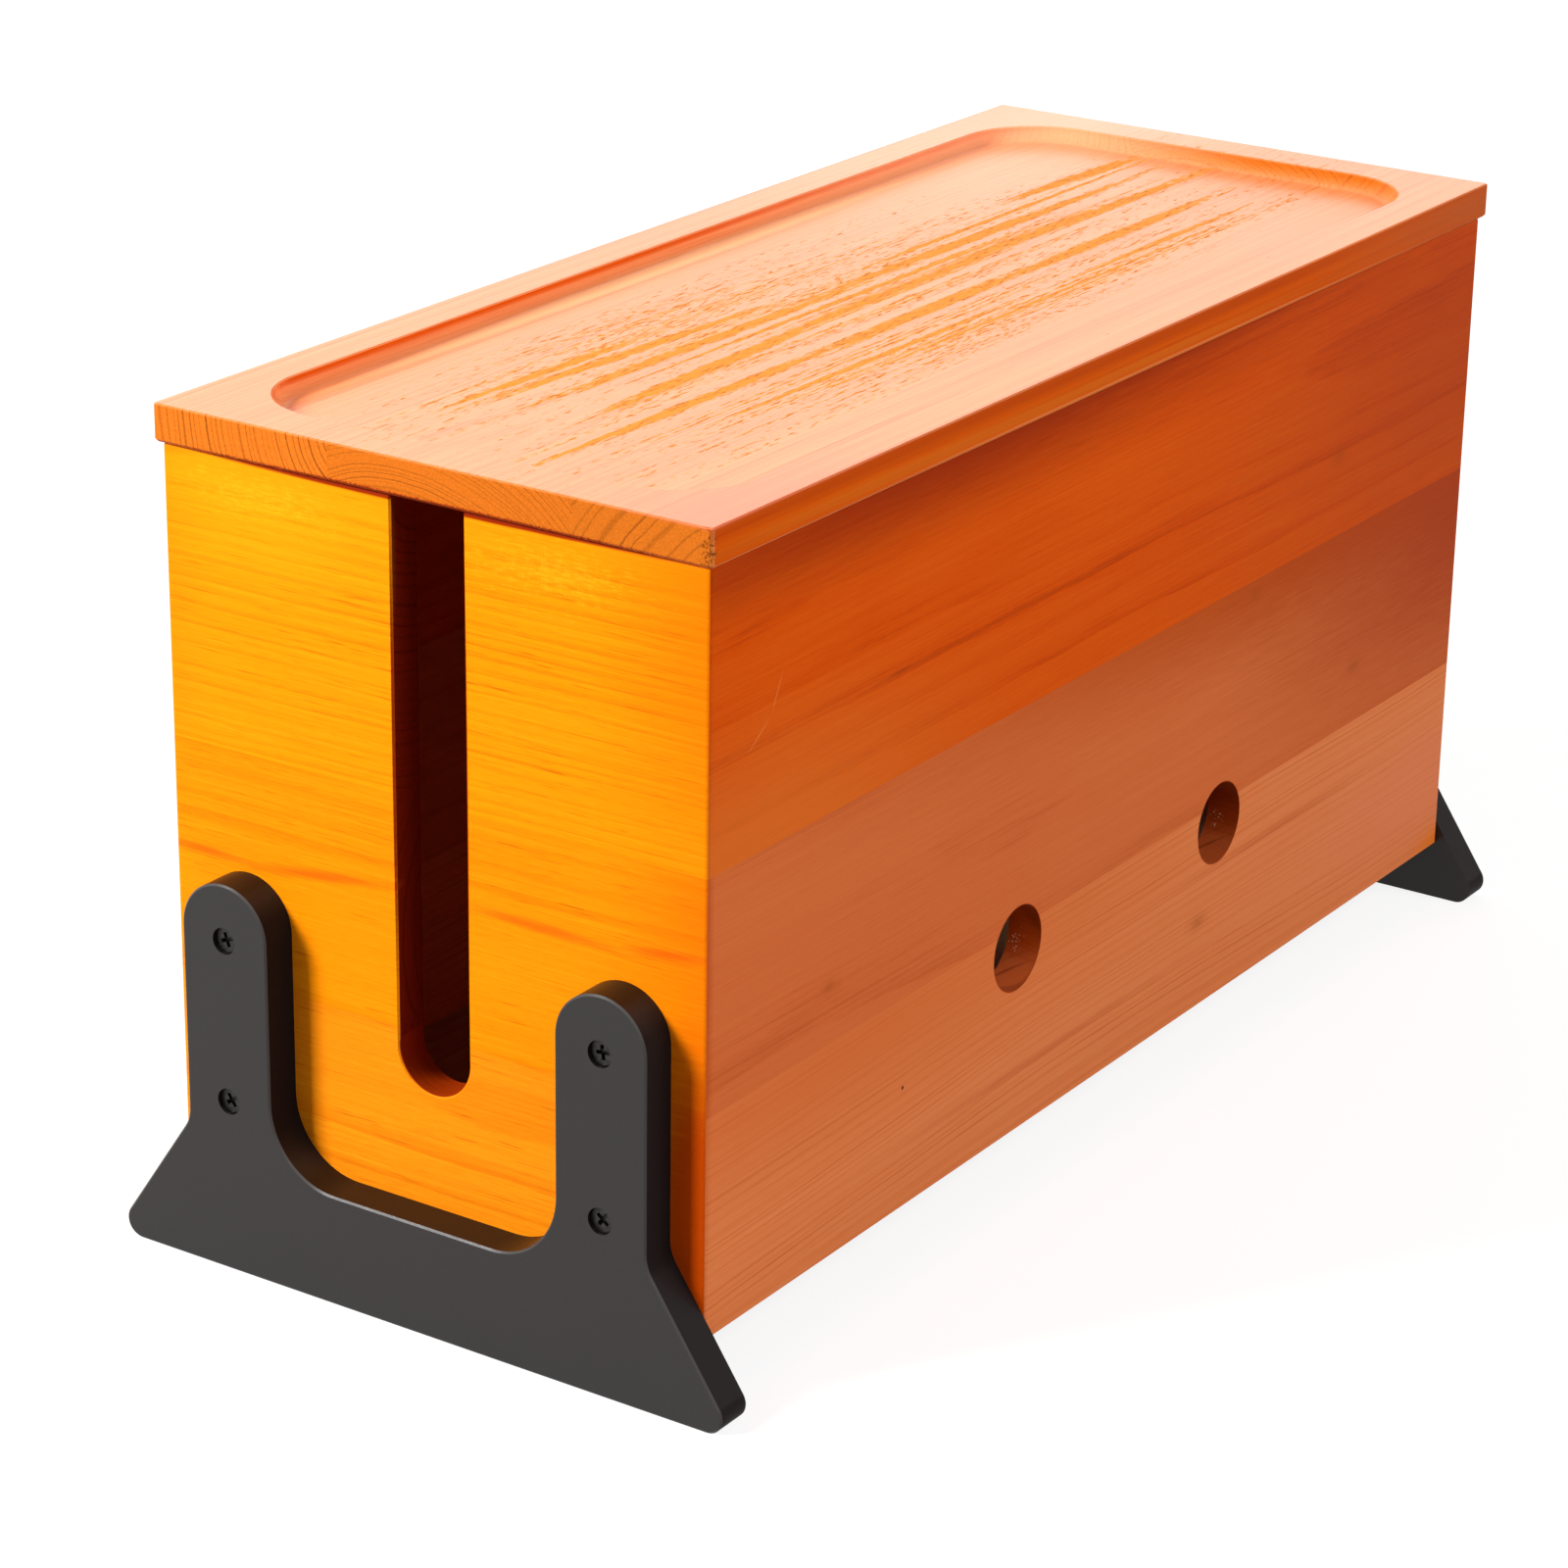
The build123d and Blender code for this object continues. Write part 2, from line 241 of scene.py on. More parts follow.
@dataclass(frozen=True)
class PineBoard:
    """Pine, sawn, planed, wiped with orange oil stain and finished satin.

    The stain sinks into the soft spring wood and leaves the hard ring lines as darker threads, so
    the eye gets fine lines along the board, arcs on its cut end, and slow clouds where more stain
    went in.

    Lengths are in millimetres. The log is a set of rings round a pith line that runs with the
    grain, so the lines on a face and the arcs on its end are one pattern. A face goes from pale
    through body to deep as more stain went in: depth is where it stands on average, and rings,
    fibres, clouds, bands, dashes, threads and flecks are how far each of them shifts it. Cut_end
    is the tone of a sawn end, and side tints the faces that look along Y: on the lid, a painted
    shade that makes its edges darker and redder than its top. Coat is the lacquer's shine on the
    faces that look up, which bare places are without.
    """

    grain: Grain = Grain.ALONG_X
    pith: tuple[float, float, float] = (0.0, 0.0, 0.0)
    tilt: tuple[float, float] = (0.0, 0.0)
    ring: float = 2.6
    crowding: float = 2.2
    crowding_pace: float = 0.31
    wander: float = 5.0
    pale: str = "#EC6C14"
    body: str = "#DC5206"
    deep: str = "#A63406"
    depth: float = 0.42
    rings: float = 0.22
    fibres: float = 0.2
    clouds: float = 0.3
    bands: float = 0.3
    dashes: float = 0.15
    threads: float = 0.0
    flecks: float = 0.12
    pores: Weave = Weave.DASH
    pore_levels: tuple[float, float] = (0.66, 0.74)
    cut_end: str = "#B8480C"
    end_contrast: float = 0.5
    end_mottle: float = 0.7
    end_from: float = 0.72
    side: str = WHITE
    roughness: float = 0.5
    shine: float = 0.02
    relief: float = 0.3
    relief_strength: float = 0.25
    ring_dip: float = 0.6
    coat: float = 0.0
    coat_roughness: float = 0.25
    bare_tone: str = "#F08C26"
    bare_fleck: str = "#C66E1C"
    fleck_levels: tuple[float, float] = (0.42, 0.36)
    marks: tuple[Mark, ...] = ()

    def lines_up(self) -> tuple[tuple[float, float, float], tuple[float, float, float]]:
        """Work out how the board's log is turned and placed for a Mapping node.

        Returns:
            The Mapping's rotation in radians, and its location in millimetres.
        """
        turn = Euler((0.0, math.radians(self.tilt[0]), math.radians(self.grain.value[0] + self.tilt[1])))
        return tuple(turn), tuple(-(turn.to_matrix() @ Vector(self.pith)))

    def noises(self, tree: bpy.types.NodeTree, wood: bpy.types.Node) -> dict[Weave, bpy.types.Node]:
        """Add one noise for each thing that varies in the wood.

        Args:
            tree: The material's node tree.
            wood: The place in the log, in millimetres, with the grain along X.

        Returns:
            The noise nodes by kind.
        """
        found = {}
        for weave in Weave:
            along, across, detail = weave.value
            size = (1 / along, 1 / across, 1 / across)
            stretched = add_node(tree, "ShaderNodeVectorMath", {0: wood, 1: size}, operation="MULTIPLY")
            found[weave] = add_node(
                tree, "ShaderNodeTexNoise", {"Vector": stretched, "Scale": 1.0, "Detail": detail}
            )
        return found

    def late_wood(
        self, tree: bpy.types.NodeTree, wood: bpy.types.Node, noise: dict[Weave, bpy.types.Node]
    ) -> dict[RingLine, bpy.types.Node]:
        """Add the rings: each year darkens slowly, then stops at a sharp line.

        Args:
            tree: The material's node tree.
            wood: The place in the log, in millimetres, with the grain along X.
            noise: The noises that push the rings about.

        Returns:
            The slow darkening that a planed face shows, and the thin line that a sawn end shows,
            each from 0 in spring wood to 1 at a ring's dark edge.
        """
        flat = add_node(tree, "ShaderNodeVectorMath", {0: wood, 1: (0.0, 1.0, 1.0)}, operation="MULTIPLY")
        away = add_node(tree, "ShaderNodeVectorMath", {0: flat}, operation="LENGTH").outputs["Value"]
        for weave, push in ((Weave.WANDER, 2 * self.wander), (Weave.RIPPLE, 0.5 * self.ring)):
            away = add_node(
                tree, "ShaderNodeMath", {0: noise[weave], 1: push, 2: away}, operation="MULTIPLY_ADD"
            )
        years = add_node(tree, "ShaderNodeMath", {0: away, 1: self.ring}, operation="DIVIDE")

        # wet and dry spells spread the rings and crowd them
        growth = add_node(
            tree, "ShaderNodeTexNoise", {"W": years, "Scale": self.crowding_pace}, noise_dimensions="1D"
        )
        years = add_node(
            tree, "ShaderNodeMath", {0: growth, 1: self.crowding, 2: years}, operation="MULTIPLY_ADD"
        )
        season = add_node(tree, "ShaderNodeMath", {0: years}, operation="FRACT")
        year = add_node(tree, "ShaderNodeMath", {0: years}, operation="FLOOR")
        chance = add_node(tree, "ShaderNodeTexWhiteNoise", {"W": year}, noise_dimensions="1D")
        found = {}
        for kind in RingLine:
            rise, full, end = kind.value
            line = add_node(tree, "ShaderNodeMapRange", {"Value": chance, 3: 0.3, 4: 1.0})
            for start, stop in ((rise, full), (1.0, end)):
                side = add_node(
                    tree,
                    "ShaderNodeMapRange",
                    {"Value": season, 1: start, 2: stop},
                    interpolation_type="SMOOTHSTEP",
                )
                line = add_node(tree, "ShaderNodeMath", {0: line, 1: side}, operation="MULTIPLY")
            found[kind] = line
        return found

    def stained(
        self, tree: bpy.types.NodeTree, late: bpy.types.Node, noise: dict[Weave, bpy.types.Node]
    ) -> bpy.types.Node:
        """Add the colour of a planed face, from pale through body to deep.

        Args:
            tree: The material's node tree.
            late: The late wood of the rings.
            noise: The noises that vary how much stain went in.

        Returns:
            The colour.
        """
        least, full = self.pore_levels
        dash = add_node(tree, "ShaderNodeMapRange", {"Value": noise[self.pores], 1: least, 2: full})

        # each source is centred on its own average, so that it varies the tone and leaves the mean
        stain = self.depth
        for source, strength, middle in (
            (late, self.rings, 0.25),
            (noise[Weave.FIBRE], self.fibres, 0.5),
            (noise[Weave.CLOUD], self.clouds, 0.5),
            (noise[Weave.BAND], self.bands, 0.5),
            (noise[Weave.THREAD], self.threads, 0.5),
            (noise[Weave.FLECK], self.flecks, 0.5),
            (dash, self.dashes, 0.0),
        ):
            centred = add_node(tree, "ShaderNodeMath", {0: source, 1: middle}, operation="SUBTRACT")
            stain = add_node(
                tree, "ShaderNodeMath", {0: centred, 1: strength, 2: stain}, operation="MULTIPLY_ADD"
            )
        colour = linear(self.pale)
        for start, tone in ((0.0, self.body), (0.5, self.deep)):
            share = add_node(tree, "ShaderNodeMapRange", {"Value": stain, 1: start, 2: start + 0.5})
            colour = add_node(tree, "ShaderNodeMixRGB", {0: share, 1: colour, 2: linear(tone)})
        return colour

    def turned(
        self,
        tree: bpy.types.NodeTree,
        here: bpy.types.Node,
        colour: bpy.types.Node,
        line: bpy.types.Node,
        noise: dict[Weave, bpy.types.Node],
    ) -> bpy.types.Node:
        """Give the sawn ends, which drink more stain and show their ring lines, their tone, and tint the
        sides, which on the lid is a painted shade.

        Args:
            tree: The material's node tree.
            here: The Texture Coordinate node.
            colour: The colour of a planed face.
            line: The ring lines that a sawn end shows.
            noise: The noises in the wood.

        Returns:
            The colour of the whole board.
        """
        sawn = facing(tree, here, self.grain.value[1], self.end_from, 0.95)
        fade = add_node(
            tree,
            "ShaderNodeMath",
            {0: noise[Weave.FIBRE], 1: -self.end_mottle, 2: 1 + self.end_mottle / 2},
            operation="MULTIPLY_ADD",
        )
        fade = add_node(
            tree, "ShaderNodeMath", {0: line, 1: -self.end_contrast, 2: fade}, operation="MULTIPLY_ADD"
        )
        end_tone = add_node(
            tree, "ShaderNodeMixRGB", {0: 1.0, 1: linear(self.cut_end), 2: fade}, blend_type="MULTIPLY"
        )
        colour = add_node(tree, "ShaderNodeMixRGB", {0: sawn, 1: colour, 2: end_tone})
        # on the lid the side tint is a painted shade, which makes its front and rear edges darker and
        # redder than its top
        sides = facing(tree, here, "Y", 0.9, 0.995)
        return add_node(
            tree, "ShaderNodeMixRGB", {0: sides, 1: colour, 2: linear(self.side)}, blend_type="MULTIPLY"
        )

    def lacquered(
        self,
        tree: bpy.types.NodeTree,
        here: bpy.types.Node,
        colour: bpy.types.Node,
        bare: bpy.types.Node | float,
        noise: dict[Weave, bpy.types.Node],
    ) -> tuple[bpy.types.Node, bpy.types.Node]:
        """Lay the lacquer's shine on the faces that look up, with bare places where the wood drank it.

        Args:
            tree: The material's node tree.
            here: The Texture Coordinate node.
            colour: The colour of the wood.
            bare: Where the lacquer sank in, from 0 to 1.
            noise: The noises in the wood.

        Returns:
            The colour with its bare places, and the weight of the shine.
        """
        up = facing(tree, here, "Z", 0.88, 0.99)
        soaked = add_node(tree, "ShaderNodeMath", {0: bare, 1: up}, operation="MULTIPLY")
        start, full = self.fleck_levels
        dark = add_node(tree, "ShaderNodeMapRange", {"Value": noise[Weave.FLECK], 1: start, 2: full})
        tone = add_node(
            tree, "ShaderNodeMixRGB", {0: dark, 1: linear(self.bare_tone), 2: linear(self.bare_fleck)}
        )
        colour = add_node(tree, "ShaderNodeMixRGB", {0: soaked, 1: colour, 2: tone})
        kept = add_node(tree, "ShaderNodeMapRange", {"Value": bare, 3: self.coat, 4: 0.0})
        return colour, add_node(tree, "ShaderNodeMath", {0: kept, 1: up}, operation="MULTIPLY")

    def material(self, name: str) -> bpy.types.Material:
        """Build the board's material.

        Args:
            name: The piece that the board is for.

        Returns:
            A material whose rings, fibres, clouds and marks are all made from Object coordinates.
        """
        material, tree = new_material(f"stained_pine_{name}")
        here = add_node(tree, "ShaderNodeTexCoord")
        place = add_node(tree, "ShaderNodeMapping", {0: here.outputs["Object"], "Scale": IN_MM})
        rotation, location = self.lines_up()
        wood = add_node(
            tree,
            "ShaderNodeMapping",
            {0: here.outputs["Object"], "Location": location, "Rotation": rotation, "Scale": IN_MM},
        )
        noise = self.noises(tree, wood)
        line = self.late_wood(tree, wood, noise)
        colour = self.stained(tree, line[RingLine.PLANED], noise)
        colour = self.turned(tree, here, colour, line[RingLine.SAWN], noise)

        bare = 0.0
        for mark in self.marks:
            mask = mark.mask(tree, place, noise)
            if mark.kind is MarkKind.STAIN:
                colour = add_node(tree, "ShaderNodeMixRGB", {0: mask, 1: colour, 2: linear(mark.colour)})
            else:
                bare = add_node(tree, "ShaderNodeMath", {0: bare, 1: mask}, operation="MAXIMUM")
        finish = {"Roughness": self.roughness, "Specular IOR Level": self.shine}
        if self.coat:
            colour, gloss = self.lacquered(tree, here, colour, bare, noise)
            finish |= {"Coat Weight": gloss, "Coat Roughness": self.coat_roughness}

        # the fibres stand proud, and the planer leaves the hard ring lines a little lower
        height = add_node(
            tree,
            "ShaderNodeMath",
            {0: line[RingLine.PLANED], 1: -self.ring_dip, 2: noise[Weave.FIBRE]},
            operation="MULTIPLY_ADD",
        )
        bump = add_node(
            tree,
            "ShaderNodeBump",
            {
                "Height": height,
                "Strength": self.relief_strength,
                "Distance": self.relief / MM_PER_METRE,
            },
        )
        shader = add_node(
            tree, "ShaderNodeBsdfPrincipled", {"Base Color": colour, "Normal": bump, **finish}
        )
        add_node(tree, "ShaderNodeOutputMaterial", {"Surface": shader})
        return material


# ---------------------------------------------------------------- the box

# the outer faces of the front and the left end, half the slot, and the lid's sides, in millimetres
FRONT = box_in_mm("front_middle_stave")[0][1]
END = box_in_mm("left_end_lower_stave")[0][0]
SLOT_HALF = box_in_mm("left_end_upper_rear_stave")[0][1]
(LID_END, LID_FRONT, EAVE), (_, _, LID_TOP) = box_in_mm("lid_front_stave")

# what the nodes' boxes don't tell: the middle of the slot's round foot, the cable holes, the tray
SLOT_FOOT = 73.0
HOLES_AT = (-55.0, 55.0)
HOLE_HEIGHT = 72.0
HOLE_RADIUS = 12.0
TRAY_FLOOR = 223.5

SCRATCH_WIDTH = 0.56
KNOT_DEPTH = 9.0
STREAK_DEPTH = 8.0


def on_front(
    x: float, z: float, wide: float, high: float, colour: str, deep: float = 3.0, **look: object
) -> Mark:
    """Put a mark on the front wall.

    Args:
        x: Where its middle is along the wall.
        z: How high its middle is.
        wide: Half its width.
        high: Half its height.
        colour: Its colour.
        deep: How far it goes into the wood.
        look: Its other fields, where they differ from a soft change of tone.

    Returns:
        The mark.
    """
    return Mark((x, FRONT, z), (wide, deep, high), colour, **{"ragged": 0.3, "soft": 1.0, **look})


def on_end(
    y: float, z: float, long: float, high: float, colour: str, deep: float = 3.0, **look: object
) -> Mark:
    """Put a mark on the left end wall.

    Args:
        y: Where its middle is along the wall.
        z: How high its middle is.
        long: Half its length.
        high: Half its height.
        colour: Its colour.
        deep: How far it goes into the wood.
        look: Its other fields, where they differ from a soft change of tone.

    Returns:
        The mark.
    """
    return Mark((END, y, z), (deep, long, high), colour, **{"ragged": 0.3, "soft": 1.0, **look})


def knot(x: float, z: float, size: float = 2.2) -> tuple[Mark, Mark]:
    """Make a pin knot in the front wall.

    Args:
        x: Where it is along the wall.
        z: How high it is.
        size: How thick its twig was.

    Returns:
        Its soft halo, and its darker core.
    """
    halo = on_front(x, z, 4.6 * size, 2.4 * size, "#A84612", deep=KNOT_DEPTH, strength=0.2)
    core = on_front(x, z, 2.4 * size, 1.2 * size, "#9A4A18", deep=KNOT_DEPTH, ragged=0.2, strength=0.26)
    return halo, core


def scratch(x: float, z: float, half: float, lean: float) -> Mark:
    """Make a pale scratch in the front wall.

    Args:
        x: Where its middle is along the wall.
        z: How high its middle is.
        half: Half its length.
        lean: How far it leans, in degrees.

    Returns:
        The mark.
    """
    return on_front(
        x, z, half, SCRATCH_WIDTH / 2, "#F09A58", turn=(0.0, lean, 0.0), ragged=0.1, soft=0.6, strength=0.4
    )


def glints(y: float, z: float, long: float, high: float) -> Mark:
    """Make a patch of the end wall with a painted highlight: glints where curly fibres catch the light, in
    short upright strokes.

    Args:
        y: Where its middle is along the wall.
        z: How high its middle is.
        long: Half its length.
        high: Half its height.

    Returns:
        The mark.
    """
    return on_end(
        y, z, long, high, "#FFBA20", deep=6.0, weave=Weave.GLINT, ragged=2.0, grit=3.0, cover=0.42,
        soft=0.9, strength=0.26,
    )


def hole_wall(x: float) -> tuple[Mark, ...]:
    """Make what shows inside a cable hole.

    Args:
        x: Where the hole is along the front wall.

    Returns:
        Its dark wall, the ring lines cut through in it, and fibres that the bit tore loose.
    """
    reach = HOLE_RADIUS + 0.4
    wall = Mark((x, -76.0, HOLE_HEIGHT), (reach, 60.0, reach), "#9E380C", ragged=0.0, soft=0.02)
    cut_rings = tuple(
        Mark(
            (x, -77.0, z), (14.0, 9.0, 0.5), "#3C1002", turn=(-30.0, 0.0, 0.0), ragged=0.3, soft=0.8,
            strength=0.7,
        )
        for z in (62.5, 65.5, 69.5, 74.5)
    )
    torn = Mark(
        (x + 10.5, -75.5, 68.5), (3.2, 2.4, 3.0), "#E0CCB8", weave=Weave.FLECK, ragged=7.0, cover=0.3,
        soft=0.3,
    )
    return (wall, *cut_rings, torn)


HOLE_WALLS = tuple(mark for x in HOLES_AT for mark in hole_wall(x))

# a redder band along the mitred corner; painted shadows of the front foot's arm and of the lid's overhang;
# stain gathered in a seam of resin; a dark line along the slot's edges; and a dark red round foot of the
# slot
MITRE = Mark((END, FRONT, 118.0), (3.4, 1.2, 115.0), "#C04414", ragged=0.3, soft=1.0, strength=0.55)
# painted shadow that the front foot's arm casts on the end wall
PAINTED_ARM_SHADOW = on_end(-80.0, 50.0, 17.0, 66.0, "#CA4802", soft=0.7, strength=1.0)
# painted shadow of the lid's overhang along the top of the end wall
PAINTED_END_LID_SHADOW = on_end(0.0, EAVE + 0.6, 99.0, 2.6, "#8A1002", deep=1.6, ragged=0.1, soft=0.3, strength=0.95)
# painted shadow of the lid's overhang along the top of the front wall
PAINTED_FRONT_LID_SHADOW = on_front(0.0, EAVE + 1.0, 230.0, 6.0, "#8A2404", deep=1.6)
RESIN_LINE = tuple(
    on_end(y, z, long, high, "#E85408", deep=6.0, turn=(lean, 0.0, 0.0), ragged=0.8, strength=0.7)
    for y, z, long, high, lean in (
        (74.0, 111.2, 20.0, 2.4, 0.0),
        (36.0, 113.0, 36.0, 2.6, -7.0),
        (-34.0, 116.0, 36.0, 2.4, 1.0),
        (-72.0, 118.4, 20.0, 2.2, -7.0),
    )
)
SLOT_RIM = tuple(
    Mark((END - 0.3, y, 150.0), (1.2, 0.7, 80.0), "#9A1404", soft=0.4, strength=0.85)
    for y in (-SLOT_HALF - 0.1, SLOT_HALF + 0.1)
)
SLOT_BED = Mark(
    (-192.0, 0.0, SLOT_FOOT), (60.0, SLOT_HALF + 0.3, SLOT_HALF + 0.3), "#8E2404", ragged=0.0, soft=0.015,
    strength=0.95,
)

END_PINE = PineBoard(
    Grain.ALONG_Y, cut_end="#7E1C06", end_contrast=0.35, bands=0.16, fibres=0.5, dashes=0.5, threads=0.35,
    flecks=0.25, pores=Weave.HAIR,
)
# the lid's side tint is a painted shade on its front and rear edges
LID_PINE = PineBoard(
    pale="#FA9960", body="#F38A53", deep="#DE7034", side="#E09A1C", end_from=0.35, coat=0.4, rings=0.34,
    fibres=0.6, threads=1.3,
)


@dataclass
class Carcass:
    """The four walls, each glued up from staves of pine."""

    front_upper: PineBoard = PineBoard(
        pith=(0.0, -35.0, 196.0), tilt=(0.6, 0.3), ring=4.2,
        pale="#E4600F", body="#DB5003", deep="#A83002",
        rings=0.24, bands=0.36, clouds=0.4, fibres=0.6, dashes=0.14, threads=0.5, flecks=0.2,
        pores=Weave.HAIR,
        marks=(
            PAINTED_FRONT_LID_SHADOW,
            MITRE,
            on_front(-190.0, 138.0, 150.0, 48.0, "#E0722A"),
            # painted shade under the lid's overhang, darkening the top of the front wall
            on_front(-100.0, 219.0, 300.0, 26.0, "#962A04", strength=0.9),
            scratch(-171.6, 179.3, 6.5, -64.3),
            scratch(-179.5, 170.3, 7.0, -34.9),
            # painted shade, darker towards the +X end of the front wall
            on_front(210.0, 180.0, 230.0, 110.0, "#A83E1C", strength=0.6),
            *knot(116.6, 165.0),
            on_front(-116.9, 168.2, 7.0, 0.8, "#9A3408", deep=4.0, ragged=0.8, soft=0.8, strength=0.45),
        ),
    )
    front_middle: PineBoard = PineBoard(
        pith=(0.0, -10.0, 112.0), tilt=(-0.5, 0.2), ring=5.0,
        pale="#DE7640", body="#D86C38", deep="#B85020",
        rings=0.24, fibres=0.6, dashes=0.12, threads=0.45, flecks=0.15,
        marks=(
            MITRE,
            # painted shade over the upper part of the middle stave and towards the +X end of the front wall
            on_front(110.0, 144.0, 330.0, 36.0, "#BC4A0C", strength=0.9),
            on_front(230.0, 128.0, 210.0, 84.0, "#AC3C16", strength=0.95),
            *knot(69.8, 136.3, 1.8),
            *knot(134.6, 95.7),
            *knot(-146.7, 93.9, 1.6),
            *HOLE_WALLS,
        ),
    )
    front_lower: PineBoard = PineBoard(
        pith=(0.0, -74.0, -70.0), tilt=(0.15, 0.0), ring=2.5, wander=7.0,
        pale="#EE8E58", body="#E67E46", deep="#C2602E",
        rings=0.4, fibres=0.45, dashes=0.06, threads=0.3, flecks=0.15,
        marks=(
            MITRE,
            on_front(-130.0, 74.0, 230.0, 34.0, "#DE7036"),
            on_front(200.0, 42.0, 150.0, 36.0, "#EC865C", strength=0.7),
            *knot(45.2, 44.8),
            on_front(-111.0, 52.7, 0.7, 0.7, "#3A1204", ragged=0.2, soft=0.4, strength=0.9),
            on_front(-40.0, 36.0, 110.0, 2.2, "#C85830", deep=8.0, ragged=0.9, soft=1.2, strength=0.5),
            on_front(90.0, 59.0, 90.0, 2.6, "#C85830", deep=8.0, ragged=0.9, soft=1.2, strength=0.5),
            on_front(201.0, 17.0, 26.0, 12.0, "#F07A14", ragged=0.2, strength=0.9),
            *HOLE_WALLS,
        ),
    )
    end_upper: PineBoard = replace(
        END_PINE, pith=(-188.0, 0.0, 216.0), tilt=(0.3, 0.0), ring=2.7, wander=4.0, rings=0.3,
        pale="#FC9E0C", body="#F08A04", deep="#CA6804",
        marks=(
            on_end(50.0, 204.0, 70.0, 34.0, "#FCAA10", strength=0.3),
            on_end(96.0, 176.0, 34.0, 90.0, "#F07E06", strength=0.6),
            on_end(-92.0, 196.0, 54.0, 90.0, "#EC6C02", strength=0.75),
            glints(-38.0, 208.0, 34.0, 11.0),
            glints(52.0, 209.0, 40.0, 9.0),
            PAINTED_END_LID_SHADOW,
            *SLOT_RIM,
        ),
    )
    end_middle: PineBoard = replace(
        END_PINE, pith=(-146.0, 0.0, 104.0), tilt=(0.5, 0.0), ring=3.4, rings=0.24,
        pale="#FC9A0C", body="#EE8404", deep="#CA6404",
        marks=(
            PAINTED_ARM_SHADOW,
            on_end(-92.0, 124.0, 48.0, 70.0, "#EA6202", strength=0.7),
            *RESIN_LINE,
            *SLOT_RIM,
        ),
    )
    end_lower: PineBoard = replace(
        END_PINE, pith=(-158.0, 0.0, 66.0), tilt=(-0.6, 0.0), ring=3.0, rings=0.26,
        pale="#FC9A16", body="#EE820C", deep="#CA6208",
        marks=(
            SLOT_BED,
            *SLOT_RIM,
            PAINTED_ARM_SHADOW,
        ),
    )
    rear_drop: float = 9.0
    right_drop: float = 7.0

    def boards(self) -> dict[str, PineBoard]:
        """Say which board each stave is cut from.

        Returns:
            The board of each stave, by the stave's name. The far walls are turned boards of the
            same kinds with their pith a little lower, and without the marks of the near ones.
        """
        fronts = {"upper": self.front_upper, "middle": self.front_middle, "lower": self.front_lower}
        ends = {"upper": self.end_upper, "middle": self.end_middle, "lower": self.end_lower}
        found = {}
        for level, board in fronts.items():
            x, y, z = board.pith
            found[f"front_{level}_stave"] = board
            found[f"rear_{level}_stave"] = replace(board, pith=(x, -y, z - self.rear_drop), marks=())
        for level, board in ends.items():
            x, y, z = board.pith
            right = replace(board, pith=(-x, y, z - self.right_drop), marks=())
            for half in ("",) if level == "lower" else ("_front", "_rear"):
                found[f"left_end_{level}{half}_stave"] = board
                found[f"right_end_{level}{half}_stave"] = right
        return found

    def build(self) -> int:
        """Give each stave its own board.

        Returns:
            How many staves were dressed.
        """
        boards = self.boards()
        for name, board in boards.items():
            dress(name, board.material(name))
        return len(boards)


def bare_streak(x0: float, x1: float, y: float, half: float, lean: float = 0.0, **look: object) -> Mark:
    """Make a streak along the tray's floor that the lacquer sank into, so that it doesn't shine.

    Args:
        x0: Where it starts along the lid.
        x1: Where it ends.
        y: Where its middle is across the lid.
        half: Half its width.
        lean: How far it leans, in degrees.
        look: Its other fields, where they differ.

    Returns:
        The mark.
    """
    streak = {"ragged": 1.6, "grit": 1.4, "cover": 0.52, "soft": 0.22, "strength": 1.0, **look}
    return Mark(
        ((x0 + x1) / 2, y, TRAY_FLOOR), ((x1 - x0) / 2, half, STREAK_DEPTH), kind=MarkKind.DRY,
        turn=(0.0, 0.0, lean), weave=Weave.THREAD, **streak,
    )


def bare_dashes(x0: float, x1: float, y: float, half: float, cover: float) -> Mark:
    """Make a band of the tray's floor in which the lacquer sank into scattered short pores.

    Args:
        x0: Where it starts along the lid.
        x1: Where it ends.
        y: Where its middle is across the lid.
        half: Half its width.
        cover: How high in the noise the pores still show.

    Returns:
        The mark.
    """
    return bare_streak(x0, x1, y, half, ragged=5.2, grit=3.8, cover=cover, soft=0.25)


